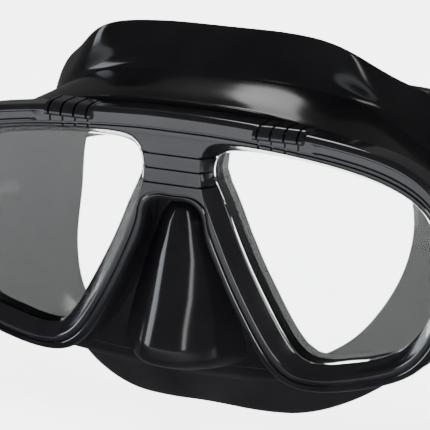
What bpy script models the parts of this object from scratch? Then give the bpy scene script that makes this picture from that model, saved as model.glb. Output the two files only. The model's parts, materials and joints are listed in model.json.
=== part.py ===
"""Twin-lens diving mask: frame, two glass lenses, silicone skirt with a nose pocket, swivel buckles, strap.

Design space, in millimetres: X to the wearer's left, Y backwards from the frame's front face, Z up from the
level of the buckle pivots. ORIGIN_Y and FLOOR_Z then put the world's origin under the middle of the mask, at its base.
"""

import math

import bmesh
import bpy
import numpy as np
from mathutils.geometry import tessellate_polygon

MM = 0.001
ORIGIN_Y = 50.7  # design Y of the world's origin: half-way from the pocket's front to the strap's back
FLOOR_Z = 56.22  # design height of the skirt's lowest point below the pivots
GAP = 0.3  # clearance that neighbouring pieces keep

# Frame
FRAME_DEPTH = 8.0
FRAME_EDGE = 1.2  # width of the bevel round the front face
FRAME_EDGE_Y = 1.5  # where that bevel ends on the side
GROOVE_WIDTH = 0.6
GROOVE_DEPTH = 0.6
LENS_EDGE_Y = 4.0  # how far back the sloping wall of an eye opening ends
SEAT_REACH = 2.0  # how far the lens seat runs under the frame's lip
SEAT_Y = 5.2
FRAME_COUNT = 88
EYE_COUNT = 52
RIB_X = (25.5, 29.4, 33.3, 37.2)
PAD_RISE = 1.1
PAD_TOP = 33.5
BRIDGE_GROOVE_Z = (22.6, 18.55, 14.45)

# Lens and its retainer
LENS_FRONT_Y = 4.1
LENS_CHAMFER_Y = 5.5
LENS_BEVEL_Y = 6.5
LENS_BACK_Y = 7.7
LENS_REACH = 1.6  # how far the glass runs under the lip
RETAINER_FRONT_Y = 10.6
RETAINER_BACK_Y = 14.5
EAR_BACK_Y = 12.5
POST_R = 1.2
POST_OFFSET = 4.4
POST_FRONT_Y = 5.0
POST_PLACES = (0.0, 0.82)  # shares of the way round an eye

# Skirt
PANEL_FRONT_Y = FRAME_DEPTH + GAP
PANEL_THICK = 2.0
WALL = 2.2
LIP = 0.9  # thickness of the seal at its edges
SKIRT_COUNT = 64

# Buckles and strap
PIVOT_Y = 18.0
LUG_IN_X = 82.0
LUG_THICK = 3.0
LUG_R = 7.6
LUG_FRONT_Y = 2.2
BUCKLE_X = LUG_IN_X + LUG_THICK + 0.9  # the buckle turns on a washer against the lug
BUCKLE_THICK = 2.6
BUCKLE_R = 8.0
ROLLER_X = 84.3  # outlines of the buckle's parts have their x measured from here
ROLLER_Y = 42.0
ROLLER_R = 3.0
ROLLER_HALF = 7.5
PIN_R = 1.1
RUN = 0.08  # radial clearance of whatever turns on a pin
PIN_HOLE_R = PIN_R + RUN
SCREW_R = 1.8
PIN_HALF = 10.7
CHEEK_IN_Z = 7.9
CHEEK_OUT_Z = 10.2
LEVER_X = 7.7
LEVER_Y = 41.0
LEVER_HALF = 7.4
STRAP_THICK = 2.0
STRAP_HALF = 6.0  # half the strap's width at the buckles
STRAP_BACK_HALF = 12.0  # and at the back of the head
STRAP_TURN_R = ROLLER_R + GAP + STRAP_THICK / 2
STRAP_X = ROLLER_X - STRAP_TURN_R
STRAP_STRAIGHT_Y = 70.0
STRAP_BACK_Y = 108.0
STRAP_RISE = 9.5
TAIL_X = STRAP_X + STRAP_THICK + GAP
TAIL_END_Y = 79.0
KEEPER_Y = 63.5

# Outlines of the right-hand half, seen from the front, as (x, z): from the top middle round to the nose
FRAME_OUTLINE = [
    (0, 34.2), (15, 33.9), (36, 32.6), (52, 30.7), (66, 27.3), (75.5, 21), (80.8, 11.5), (82.6, 0),
    (81.2, -10.5), (77, -21.2), (70.3, -29), (61, -33.9), (51, -37), (41, -38.6), (33.8, -37.7),
    (28.6, -34.4), (23.6, -28.2), (19.6, -21.6), (15.9, -14.6), (12.6, -7.6), (9.9, -1.4), (8.8, 3.4),
    (7.8, 7.1), (5.4, 9.2), (0, 9.5),
]
GROOVE_LINE = [
    (0, 29.4), (15, 29.2), (36, 27.7), (52, 25.7), (65, 22.2), (73.6, 16.8), (78.4, 8.8), (80.1, -0.5),
    (78.9, -10.2), (75, -20.2), (68.8, -27.6), (60.2, -31.8), (50.4, -34.8), (41, -36.3), (35, -35.5),
    (30.6, -32.8), (25.8, -26.9), (21.8, -20.2), (18.1, -13.4), (14.8, -6.5), (12.1, -0.3), (10.6, 4.8),
    (9.5, 9), (6.3, 11.2), (0, 11.4),
]
# Closed outlines of one eye: the ridge round the opening, and the edge where the glass shows
RIDGE = [
    (8.5, 17.5), (8.9, 22.4), (11, 25.9), (16, 27.3), (24, 27.3), (37, 26.3), (52, 24.2), (64.5, 20.7),
    (72.6, 15.6), (77, 8.2), (78.6, -0.6), (77.4, -9.8), (73.6, -19.2), (67.8, -26.2), (59.6, -30.3),
    (50, -33.2), (41.2, -34.6), (36, -33.9), (32.2, -31.6), (27.4, -25.8), (23.4, -19.3), (19.8, -12.6),
    (16.5, -5.8), (13.9, 0.2), (11.6, 5.7), (9.4, 12),
]
LENS_EDGE = [
    (10.8, 17.3), (11.2, 20.9), (13, 23.6), (17.2, 24.9), (24, 25.2), (37, 24.4), (51, 22.5), (62.5, 19.6),
    (70, 15.8), (74.8, 8.4), (76.6, -0.8), (75.2, -9), (71.6, -16.8), (66, -23.4), (58.6, -27.4),
    (49.6, -30), (41, -31.4), (37, -30.6), (33.6, -27.7), (29.6, -22), (26, -15.8), (22.6, -9.6),
    (19.4, -3.1), (16.7, 3.1), (14.3, 8.9), (12.1, 13.4),
]
# Skirt: five curves round the mask as (x, y, z), from the middle of the forehead to the upper lip
SKIRT_ROOT = [
    (0, 8.3, 33.2), (22, 8.3, 32.6), (45, 8.3, 29.9), (65, 8.3, 25.4), (76.5, 8.3, 15.8), (81.3, 8.3, -1),
    (77.6, 8.3, -18), (70, 8.3, -28.2), (56, 8.3, -34.6), (41, 8.3, -37.7), (28, 8.3, -38.8),
    (14, 8.3, -39.6), (0, 8.3, -39.9),
]
SKIRT_SHOULDER = [
    (0, 9.9, 35.5), (22, 10, 34.8), (44.5, 10.8, 30.3), (63, 13.2, 24.2), (76, 15.5, 13.4), (79.3, 20, -2),
    (75, 18.5, -18), (67, 16, -28.4), (54, 14.5, -35), (40, 13.5, -38.6), (27, 12.8, -40.6),
    (13.5, 12.4, -41.8), (0, 12.2, -42.2),
]
SKIRT_FOLD = [
    (0, 27, 39.6), (22, 28, 39), (42, 32, 34.2), (55, 39, 24.4), (63.6, 46.5, 11.4), (66.8, 52, -3),
    (63.6, 47, -18), (56, 37.5, -29), (44, 29, -35.8), (33, 23, -39.6), (23, 20.5, -43), (11.5, 18.8, -45.2),
    (0, 18.2, -45.8),
]
SKIRT_RIM = [
    (0, 35, 51), (21, 34.4, 50.6), (38, 32, 47.9), (50.2, 40.5, 38.9), (63.2, 51.5, 26), (72, 58, -1),
    (69, 54, -18), (62.6, 46, -31.4), (53.4, 38, -42.4), (42.6, 31.2, -49.8), (30, 27.4, -54.8),
    (15.5, 25, -56.2), (0, 24.2, -55.6),
]
SKIRT_LIP = [
    (0, 34, 33.4), (19, 34.6, 32.4), (35, 37.6, 27.6), (46, 42, 19), (51.6, 45.6, 8), (53, 46.4, -4),
    (51.6, 41, -16), (47, 34, -26), (40.5, 29.4, -33), (32, 27.4, -38), (22, 26.2, -42), (11, 25, -44.6),
    (0, 24.6, -45.2),
]
# Nose pocket, from its top down: height, half-width of its front, half-width near its root, Y of the ridge
POCKET = [
    (9, 2.4, 3.6, 7.2), (7, 3.2, 4.9, 4.6), (3, 4.9, 7.4, 3), (-7, 6.9, 11.2, 0.8), (-17, 8.4, 14, -2.2),
    (-25, 9.5, 15.8, -5.6), (-30, 10.4, 16.6, -7.4), (-33.5, 11.2, 17, -7.6),
]
POCKET_ROUND = 5.0  # how far the pocket's rounded end reaches below its last section
POCKET_POWER = 2.6
POCKET_FLARE = 0.16  # how far each side spreads where it meets the panel, as a share of the pocket's depth
POCKET_WALL = 2.0


# Curves


def closed_spline(points, knots, count):
    """Points of the closed cubic spline through points, even in the parameter that knots sets."""
    p = np.array(points, float)
    n = len(p)
    t = np.append(knots, knots[-1] + (knots[-1] - knots[-2]))
    h = np.diff(t)
    system = np.zeros((n, n))
    right = np.zeros_like(p)
    for i in range(n):
        before, after = h[i - 1], h[i]
        system[i, i - 1] += before
        system[i, i] += 2 * (before + after)
        system[i, (i + 1) % n] += after
        right[i] = 6 * ((p[(i + 1) % n] - p[i]) / after - (p[i] - p[i - 1]) / before)
    bend = np.linalg.solve(system, right)
    at = np.linspace(t[0], t[-1], count, endpoint=False)
    k = np.clip(np.searchsorted(t, at, side="right") - 1, 0, n - 1)
    nxt = (k + 1) % n
    a = ((t[k + 1] - at) / h[k])[:, None]
    b = 1 - a
    step = (h[k] ** 2)[:, None] / 6
    return a * p[k] + b * p[nxt] + ((a**3 - a) * bend[k] + (b**3 - b) * bend[nxt]) * step


def chord_knots(points):
    """Knots at the chord length along a closed list of points, leaving out the way back to the first."""
    p = np.array(points, float)
    return np.append(0, np.cumsum(np.linalg.norm(np.diff(p, axis=0), axis=1)))


def evened(loop, count):
    """The same closed loop with its points evenly spaced."""
    closed = np.vstack([loop, loop[:1]])
    along = chord_knots(closed)
    at = np.linspace(0, along[-1], count, endpoint=False)
    return np.stack([np.interp(at, along, closed[:, i]) for i in range(loop.shape[1])], 1)


def eye_loop(points, count=EYE_COUNT):
    fine = closed_spline(points, chord_knots(points), 12 * count)
    return evened(fine, count)


def mirrored(half):
    """A whole closed list of points from its right half, whose two ends lie on the middle plane."""
    other = [(-p[0], *p[1:]) for p in half[-2:0:-1]]
    return list(half) + other


def frame_loop(half, count=FRAME_COUNT):
    points = mirrored(half)
    knots = chord_knots(mirrored(FRAME_OUTLINE))
    return closed_spline(points, knots, count)


def skirt_loop(half, count=SKIRT_COUNT):
    points = mirrored(half)
    knots = chord_knots(mirrored(SKIRT_FOLD))
    return closed_spline(points, knots, count)


def outward(loop):
    """Unit normals of a closed flat loop, pointing out of it."""
    along = np.roll(loop, -1, 0) - np.roll(loop, 1, 0)
    normal = np.stack([-along[:, 1], along[:, 0]], 1)
    normal /= np.linalg.norm(normal, axis=1)[:, None]
    area = np.sum(loop[:, 0] * np.roll(loop[:, 1], -1) - loop[:, 1] * np.roll(loop[:, 0], -1))
    return normal if area < 0 else -normal


def grown(loop, distance):
    return loop + distance * outward(loop)


def at_depth(loop, y):
    """A flat (x, z) loop stood up at depth y, as 3-D points."""
    return np.stack([loop[:, 0], np.full(len(loop), y), loop[:, 1]], 1)


# Meshes


def in_world(points):
    return (np.asarray(points, float) - (0, ORIGIN_Y, -FLOOR_Z)) * MM


def solid(name, points, faces, material, smooth=True):
    mesh = bpy.data.meshes.new(name)
    mesh.from_pydata([tuple(p) for p in in_world(points)], [], [tuple(map(int, f)) for f in faces])
    work = bmesh.new()
    work.from_mesh(mesh)
    bmesh.ops.recalc_face_normals(work, faces=work.faces)
    work.to_mesh(mesh)
    work.free()
    if smooth:
        mesh.shade_smooth()
        mesh.set_sharp_from_angle(angle=math.radians(35))
    mesh.materials.append(material)
    obj = bpy.data.objects.new(name, mesh)
    bpy.context.scene.collection.objects.link(obj)
    return obj


class Shell:
    """Points and faces of one solid, collected ring by ring."""

    def __init__(self):
        self.points = []
        self.faces = []

    def ring(self, points):
        first = len(self.points)
        self.points.extend(points)
        return list(range(first, len(self.points)))

    def band(self, a, b):
        """Quads between two closed rings of the same length."""
        n = len(a)
        for i in range(n):
            j = (i + 1) % n
            self.faces.append((a[i], a[j], b[j], b[i]))

    def bands(self, rings):
        for a, b in zip(rings, rings[1:]):
            self.band(a, b)

    def flat(self, *rings):
        """A flat face inside the first ring and outside the others."""
        flat = [[(self.points[i][0], self.points[i][2], 0) for i in ring] for ring in rings]
        index = [i for ring in rings for i in ring]
        for triangle in tessellate_polygon(flat):
            self.faces.append([index[i] for i in triangle])

    def cap(self, ring):
        self.faces.append(ring)

    def solid(self, name, material, smooth=True):
        return solid(name, self.points, self.faces, material, smooth)


def prism(name, outline, axis, low, high, material):
    """An outline extruded along an axis. Its two coordinates are the other axes, in X, Y, Z order."""
    shell = Shell()
    rings = []
    for level in (low, high):
        rings.append(shell.ring([np.insert(np.array(p, float), axis, level) for p in outline]))
    shell.band(*rings)
    shell.cap(rings[0])
    shell.cap(rings[1])
    return shell.solid(name, material)


def circle(centre, radius, count=16):
    turn = [2 * math.pi * i / count for i in range(count)]
    return [(centre[0] + radius * math.cos(a), centre[1] + radius * math.sin(a)) for a in turn]


def stadium(start, end, radius, count=9):
    """A slot's outline round two centres on the first coordinate's axis."""
    turn = [math.pi / 2 - math.pi * i / (count - 1) for i in range(count)]
    back = [(end[0] + radius * math.cos(a), end[1] + radius * math.sin(a)) for a in turn]
    front = [(start[0] - radius * math.cos(a), start[1] - radius * math.sin(a)) for a in turn]
    return back + front


def rectangle(low, high):
    return [(low[0], low[1]), (high[0], low[1]), (high[0], high[1]), (low[0], high[1])]


def combine(target, other, operation):
    modifier = target.modifiers.new(operation.lower(), "BOOLEAN")
    modifier.operation = operation
    modifier.object = other
    other.hide_render = True
    other.display_type = "WIRE"


def join(target, *others):
    for other in others:
        combine(target, other, "UNION")


def cut(target, *others):
    for other in others:
        combine(target, other, "DIFFERENCE")


def material(name, colour, roughness, metallic=0.0, alpha=1.0):
    made = bpy.data.materials.new(name)
    made.use_nodes = True
    shader = made.node_tree.nodes["Principled BSDF"]
    shader.inputs["Base Color"].default_value = (*colour, 1)
    shader.inputs["Roughness"].default_value = roughness
    shader.inputs["Metallic"].default_value = metallic
    shader.inputs["Alpha"].default_value = alpha
    return made


# Frame, lenses and retainers


def one_side(points, side):
    return np.array(points, float) * ([side] + [1] * (len(points[0]) - 1))


def post_centres(side):
    """Where a retainer's posts stand, as (x, z)."""
    around = grown(eye_loop(LENS_EDGE), POST_OFFSET)
    return [one_side(around, side)[int(share * EYE_COUNT)] for share in POST_PLACES]


def frame_shell(plastic):
    """The frame without its lugs: bevelled front, groove, two sloping eye openings and the lens seats."""
    outline = frame_loop(FRAME_OUTLINE)
    groove = frame_loop(GROOVE_LINE)
    half = GROOVE_WIDTH / 2
    shell = Shell()
    rings = [
        shell.ring(at_depth(outline, FRAME_DEPTH)),
        shell.ring(at_depth(outline, FRAME_EDGE_Y)),
        shell.ring(at_depth(grown(outline, -FRAME_EDGE), 0)),
        shell.ring(at_depth(grown(groove, half), 0)),
        shell.ring(at_depth(grown(groove, half), GROOVE_DEPTH)),
        shell.ring(at_depth(grown(groove, -half), GROOVE_DEPTH)),
        shell.ring(at_depth(grown(groove, -half), 0)),
    ]
    shell.bands(rings)
    fronts, backs = [], []
    for side in (1, -1):
        ridge = one_side(eye_loop(RIDGE), side)
        edge = one_side(eye_loop(LENS_EDGE), side)
        seat = grown(edge, SEAT_REACH)
        eye = [
            shell.ring(at_depth(ridge, 0)),
            shell.ring(at_depth(edge, LENS_EDGE_Y)),
            shell.ring(at_depth(seat, SEAT_Y)),
            shell.ring(at_depth(seat, FRAME_DEPTH)),
        ]
        shell.bands(eye)
        fronts.append(eye[0])
        backs.append(eye[-1])
    shell.flat(rings[-1], *fronts)
    shell.flat(rings[0], *backs)
    return shell.solid("frame", plastic)


def rib_cutters(plastic):
    """Blades for the four grooves that cross the frame's top over each eye."""
    outline = frame_loop(FRAME_OUTLINE)
    right = outline[(outline[:, 0] > 0) & (outline[:, 1] > 10)]
    right = right[np.argsort(right[:, 0])]
    blades = []
    for side in (1, -1):
        for i, x in enumerate(RIB_X):
            top = np.interp(x, right[:, 0], right[:, 1])
            profile = [
                (-2, 26.2), (GROOVE_DEPTH, 26.2), (GROOVE_DEPTH, top - 1.7), (1.9, top - 0.5),
                (FRAME_DEPTH + 1, top - 0.5), (FRAME_DEPTH + 1, top + 2), (-2, top + 2),
            ]
            low, high = side * x - GROOVE_WIDTH / 2, side * x + GROOVE_WIDTH / 2
            hand = "left" if side > 0 else "right"
            blades.append(prism(f"rib_cutter_{hand}_{i + 1}", profile, 0, low, high, plastic))
    return blades


def rib_pad(side, hand, plastic):
    """Raised pad on the front band, which the four grooves part into blocks."""
    profile = [
        (1, 29.6), (-0.6, 29.8), (-PAD_RISE, 30.2), (-PAD_RISE, PAD_TOP - 2), (0.6, PAD_TOP - 0.3),
        (2.4, PAD_TOP), (FRAME_DEPTH - 0.4, PAD_TOP), (FRAME_DEPTH - 0.4, PAD_TOP - 2), (3, PAD_TOP - 2),
    ]
    low, high = sorted((side * (RIB_X[0] - 1.3), side * (RIB_X[-1] + 1.3)))
    return prism(f"rib_pad_{hand}", profile, 0, low, high, plastic)


def bridge_cutters(plastic):
    """Blades for the three steps across the bridge, which run on down the walls beside it."""
    profile = [
        (-12, -1), (-12, 4.3), (-10.6, 4.3), (-7.8, 0.7), (7.8, 0.7), (10.6, 4.3), (12, 4.3), (12, -1),
    ]
    cutters = []
    for i, z in enumerate(BRIDGE_GROOVE_Z):
        cutters.append(prism(f"bridge_cutter_{i + 1}", profile, 2, z - 0.33, z + 0.33, plastic))
    return cutters


def lug_outline():
    """A temple lug's side view, as (y, z): square at the front and round about the pivot."""
    turns = [math.pi / 2 - math.pi * i / 12 for i in range(13)]
    end = [(PIVOT_Y + LUG_R * math.cos(a), LUG_R * math.sin(a)) for a in turns]
    front = [(LUG_FRONT_Y, -LUG_R + 2), (LUG_FRONT_Y, LUG_R - 2), (LUG_FRONT_Y + 2, LUG_R)]
    return [*front, *end, (LUG_FRONT_Y + 2, -LUG_R)]


def build_frame(plastic):
    frame = frame_shell(plastic)
    join(frame, rib_pad(1, "left", plastic), rib_pad(-1, "right", plastic))
    cut(frame, *rib_cutters(plastic), *bridge_cutters(plastic))
    for side, hand in ((1, "left"), (-1, "right")):
        low, high = sorted((side * LUG_IN_X, side * (LUG_IN_X + LUG_THICK)))
        lug = prism(f"lug_{hand}", lug_outline(), 0, low, high, plastic)
        join(frame, lug)
        reach = sorted((side * (LUG_IN_X - 2), side * (LUG_IN_X + LUG_THICK + 2)))
        cut(frame, prism(f"lug_hole_{hand}", circle((PIVOT_Y, 0), SCREW_R + RUN), 0, *reach, plastic))
        for i, (x, z) in enumerate(post_centres(side)):
            hole = circle((x, z), POST_R + GAP, 12)
            cut(frame, prism(f"frame_post_hole_{hand}_{i + 1}", hole, 1, POST_FRONT_Y - GAP, 9, plastic))


def build_lens(side, hand, glass):
    edge = one_side(eye_loop(LENS_EDGE), side)
    shell = Shell()
    rings = [
        shell.ring(at_depth(grown(edge, -GAP), LENS_FRONT_Y)),
        shell.ring(at_depth(grown(edge, LENS_REACH), LENS_CHAMFER_Y)),
        shell.ring(at_depth(grown(edge, LENS_REACH), LENS_BEVEL_Y)),
        shell.ring(at_depth(grown(edge, GAP / 2), LENS_BACK_Y)),
    ]
    shell.bands(rings)
    shell.flat(rings[0])
    shell.flat(rings[-1])
    shell.solid(f"lens_{hand}", glass)


def build_retainer(side, hand, plastic):
    """Thin ring behind the skirt's panel, with two posts that reach through it into the frame."""
    edge = one_side(eye_loop(LENS_EDGE), side)
    shell = Shell()
    rings = [
        shell.ring(at_depth(grown(edge, GAP), RETAINER_FRONT_Y)),
        shell.ring(at_depth(grown(edge, 1.4), RETAINER_FRONT_Y)),
        shell.ring(at_depth(grown(edge, 0.8), RETAINER_BACK_Y)),
        shell.ring(at_depth(grown(edge, GAP), RETAINER_BACK_Y)),
    ]
    shell.bands([*rings, rings[0]])
    ring = shell.solid(f"lens_retainer_{hand}", plastic)
    for i, (x, z) in enumerate(post_centres(side)):
        ear = circle((x, z), 3.3, 14)
        join(ring, prism(f"ear_{hand}_{i + 1}", ear, 1, RETAINER_FRONT_Y + 0.05, EAR_BACK_Y, plastic))
        post = circle((x, z), POST_R, 12)
        join(ring, prism(f"post_{hand}_{i + 1}", post, 1, POST_FRONT_Y, EAR_BACK_Y - 0.4, plastic))


# Skirt


def skirt_section():
    """The seal's closed cross-section at every step round the mask, as an array [step][corner][xyz]."""
    root, shoulder, fold, rim, lip = map(
        skirt_loop, (SKIRT_ROOT, SKIRT_SHOULDER, SKIRT_FOLD, SKIRT_RIM, SKIRT_LIP)
    )
    away = outward(fold[:, [0, 2]])
    n = np.stack([away[:, 0], np.zeros(len(away)), away[:, 1]], 1)
    back = np.array([0.0, 1.0, 0.0])

    def shifted(curve, out, behind):
        return curve + out * n + behind * back

    middle_rim = (fold + rim) / 2
    middle_lip = (fold + lip) / 2
    corners = [
        root,
        shoulder,
        (shoulder + fold) / 2 + 0.3 * n,
        0.16 * shoulder + 0.84 * fold + 0.35 * n,
        shifted(fold, 0.3, -0.4),
        shifted(middle_rim, 0.2, -0.8),
        shifted(rim, 0, -LIP / 2),
        shifted(rim, 0, LIP / 2),
        shifted(middle_rim, -0.4, 1.2),
        shifted(fold, -1.2, 2.4),
        shifted(middle_lip, 0.4, 2.0),
        shifted(lip, 0, LIP / 2),
        shifted(lip, 0, -LIP / 2),
        shifted(middle_lip, -0.3, 0.5),
        shifted(fold, -WALL, -0.6),
        (shoulder + fold) / 2 + (0.4 - WALL) * n,
        shifted(shoulder, -WALL, 0.2),
        shifted(root, -WALL, 0),
    ]
    return np.stack(corners, 1)


def skirt_ring(rubber):
    section = skirt_section()
    shell = Shell()
    rings = [shell.ring(section[:, i]) for i in range(section.shape[1])]
    shell.bands([*rings, rings[0]])
    return shell.solid("skirt", rubber)


def pocket_rows(wall, count):
    """Arched cross-sections of the nose pocket, set in by wall, from its top to its rounded lower end."""
    table = np.array(POCKET)[::-1]
    levels = [*np.linspace(POCKET[0][0] - wall, POCKET[-1][0], 9)]
    end = POCKET_ROUND - wall
    levels += [POCKET[-1][0] - end * math.sin(a) for a in np.radians((20, 40, 60, 75, 87))]
    turn = np.linspace(0, math.pi, count)
    across = np.sign(np.cos(turn)) * np.abs(np.cos(turn)) ** (2 / POCKET_POWER)
    forward = np.sin(turn) ** (2 / POCKET_POWER)
    rows = []
    for z in levels:
        front, root, ridge = [np.interp(z, table[:, 0], table[:, i]) for i in (1, 2, 3)]
        height = PANEL_FRONT_Y + 1 - ridge - wall
        below = max(0.0, POCKET[-1][0] - z) / end
        shrink = math.sqrt(max(0.0, 1 - below**2))
        width = (root - (root - front) * forward - wall) * (0.62 + 0.38 * shrink)
        x = across * width
        x[0] += POCKET_FLARE * height * shrink
        x[-1] -= POCKET_FLARE * height * shrink
        y = PANEL_FRONT_Y + 1 - height * shrink * forward
        rows.append(np.stack([x, y, np.full(count, z)], 1))
    return rows


def pocket_solid(name, wall, root_y, rubber, count=15):
    shell = Shell()
    rings = []
    for row in pocket_rows(wall, count):
        base = [(row[-1][0], root_y, row[-1][2]), (row[0][0], root_y, row[0][2])]
        rings.append(shell.ring([*row, *base]))
    shell.bands(rings)
    shell.cap(rings[0])
    shell.cap(rings[-1])
    return shell.solid(name, rubber)


def build_skirt(rubber):
    skirt = skirt_ring(rubber)
    root = skirt_loop(SKIRT_ROOT)[:, [0, 2]]
    panel = prism("skirt_panel", grown(root, -1.1), 1, PANEL_FRONT_Y, PANEL_FRONT_Y + PANEL_THICK, rubber)
    join(skirt, panel, pocket_solid("pocket_skin", 0, PANEL_FRONT_Y + 1.5, rubber))
    cut(skirt, pocket_solid("pocket_hollow", POCKET_WALL, PANEL_FRONT_Y + 6, rubber))
    for side, hand in ((1, "left"), (-1, "right")):
        port = grown(one_side(eye_loop(LENS_EDGE), side), GAP)
        cut(skirt, prism(f"eye_port_{hand}", port, 1, PANEL_FRONT_Y - 1, PANEL_FRONT_Y + 4, rubber))
        for i, (x, z) in enumerate(post_centres(side)):
            hole = circle((x, z), POST_R + GAP, 12)
            name = f"skirt_post_hole_{hand}_{i + 1}"
            cut(skirt, prism(name, hole, 1, PANEL_FRONT_Y - 1, PANEL_FRONT_Y + 4, rubber))


# Strap


def strap_half_path():
    """Centre line of half the strap as (x, y), from the end of its tail to the back of the head."""
    start = (ROLLER_X + STRAP_TURN_R, ROLLER_Y + 2)
    path = [(TAIL_X, y) for y in np.linspace(TAIL_END_Y, 59, 3)]
    for s in np.linspace(0, 1, 6)[1:]:
        ease = s * s * (3 - 2 * s)
        path.append((TAIL_X + (start[0] - TAIL_X) * ease, 59 + (start[1] - 59) * s))
    for turn in np.linspace(0, math.pi, 10):
        path.append((ROLLER_X + STRAP_TURN_R * math.cos(turn), ROLLER_Y - STRAP_TURN_R * math.sin(turn)))
    path += [(STRAP_X, y) for y in np.linspace(ROLLER_Y, STRAP_STRAIGHT_Y, 4)[1:]]
    depth = STRAP_BACK_Y - STRAP_STRAIGHT_Y
    for turn in np.linspace(0, math.pi / 2, 15)[1:]:
        path.append((STRAP_X * math.cos(turn), STRAP_STRAIGHT_Y + depth * math.sin(turn)))
    return path


def strap_path():
    half = strap_half_path()
    whole = np.array(half + [(-x, y) for x, y in half[-2::-1]])
    return whole


def eased(value, low, high):
    s = np.clip((value - low) / (high - low), 0, 1)
    return s * s * (3 - 2 * s)


def strap_band(name, rubber, half_width, thick, first=0, last=None):
    """A band along the strap's path: half_width and the height of its middle depend on how far back it is."""
    path = strap_path()
    along = np.gradient(path, axis=0)
    along /= np.linalg.norm(along, axis=1)[:, None]
    side = np.stack([-along[:, 1], along[:, 0]], 1)
    main = np.ones(len(path), bool)
    tail = len([p for p in strap_half_path() if p[0] >= TAIL_X - 0.01 and p[1] > ROLLER_Y])
    main[:tail] = main[-tail:] = False
    reach = np.where(main, path[:, 1], ROLLER_Y)
    rise = STRAP_RISE * eased(reach, STRAP_STRAIGHT_Y + 2, STRAP_STRAIGHT_Y + 22)
    half = half_width(reach)
    shell = Shell()
    rings = []
    for i in range(len(path))[first:last]:
        a, b = path[i] - side[i] * thick / 2, path[i] + side[i] * thick / 2
        low, high = rise[i] - half[i], rise[i] + half[i]
        rings.append(shell.ring([(*a, low), (*b, low), (*b, high), (*a, high)]))
    shell.bands(rings)
    shell.cap(rings[0])
    shell.cap(rings[-1])
    return shell.solid(name, rubber)


def build_strap(rubber):
    def width(y):
        widened = eased(y, STRAP_STRAIGHT_Y + 6, STRAP_STRAIGHT_Y + 30)
        return STRAP_HALF + (STRAP_BACK_HALF - STRAP_HALF) * widened

    def slot(y):
        return np.full(len(y), 1.4)

    strap = strap_band("strap", rubber, width, STRAP_THICK)
    middle = len(strap_half_path()) - 1
    cut(strap, strap_band("strap_slot", rubber, slot, STRAP_THICK + 2, middle - 8, middle + 9))


# Buckles


def flipped(outline, side):
    """An (x, y) outline on one side of the mask."""
    return [(side * (x + ROLLER_X), y) for x, y in outline]


def tube_along(points, radius, sides):
    """Points and faces of a round wire that follows a list of points."""
    path = np.array(points, float)
    along = np.gradient(path, axis=0)
    along /= np.linalg.norm(along, axis=1)[:, None]
    shell = Shell()
    rings = []
    up = np.array([0.3, 0.2, 0.93])
    for centre, heading in zip(path, along):
        across = np.cross(heading, up)
        across /= np.linalg.norm(across)
        up = np.cross(across, heading)
        turns = [2 * math.pi * i / sides for i in range(sides)]
        rings.append(shell.ring([centre + radius * (math.cos(a) * across + math.sin(a) * up) for a in turns]))
    shell.bands(rings)
    shell.cap(rings[0])
    shell.cap(rings[-1])
    return shell


def build_spring(side, hand, steel):
    """Torsion spring on the lever's pin: a leg on the buckle's web, three turns, a leg behind the lever."""
    radius = 1.72
    turns = 3
    path = [(6.7, 34.4, -1.9), (6.1, 37.5, -1.9)]
    for i in range(turns * 10 + 1):
        angle = math.pi - 2 * math.pi * i / 10
        z = -1.9 + 3.8 * i / (turns * 10)
        path.append((LEVER_X + radius * math.cos(angle), LEVER_Y + radius * math.sin(angle), z))
    path += [(6.1, 44.4, 1.9), (6.5, 50.5, 1.9)]
    shell = tube_along([(side * (x + ROLLER_X), y, z) for x, y, z in path], 0.3, 5)
    shell.solid(f"release_spring_{hand}", steel)


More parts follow.
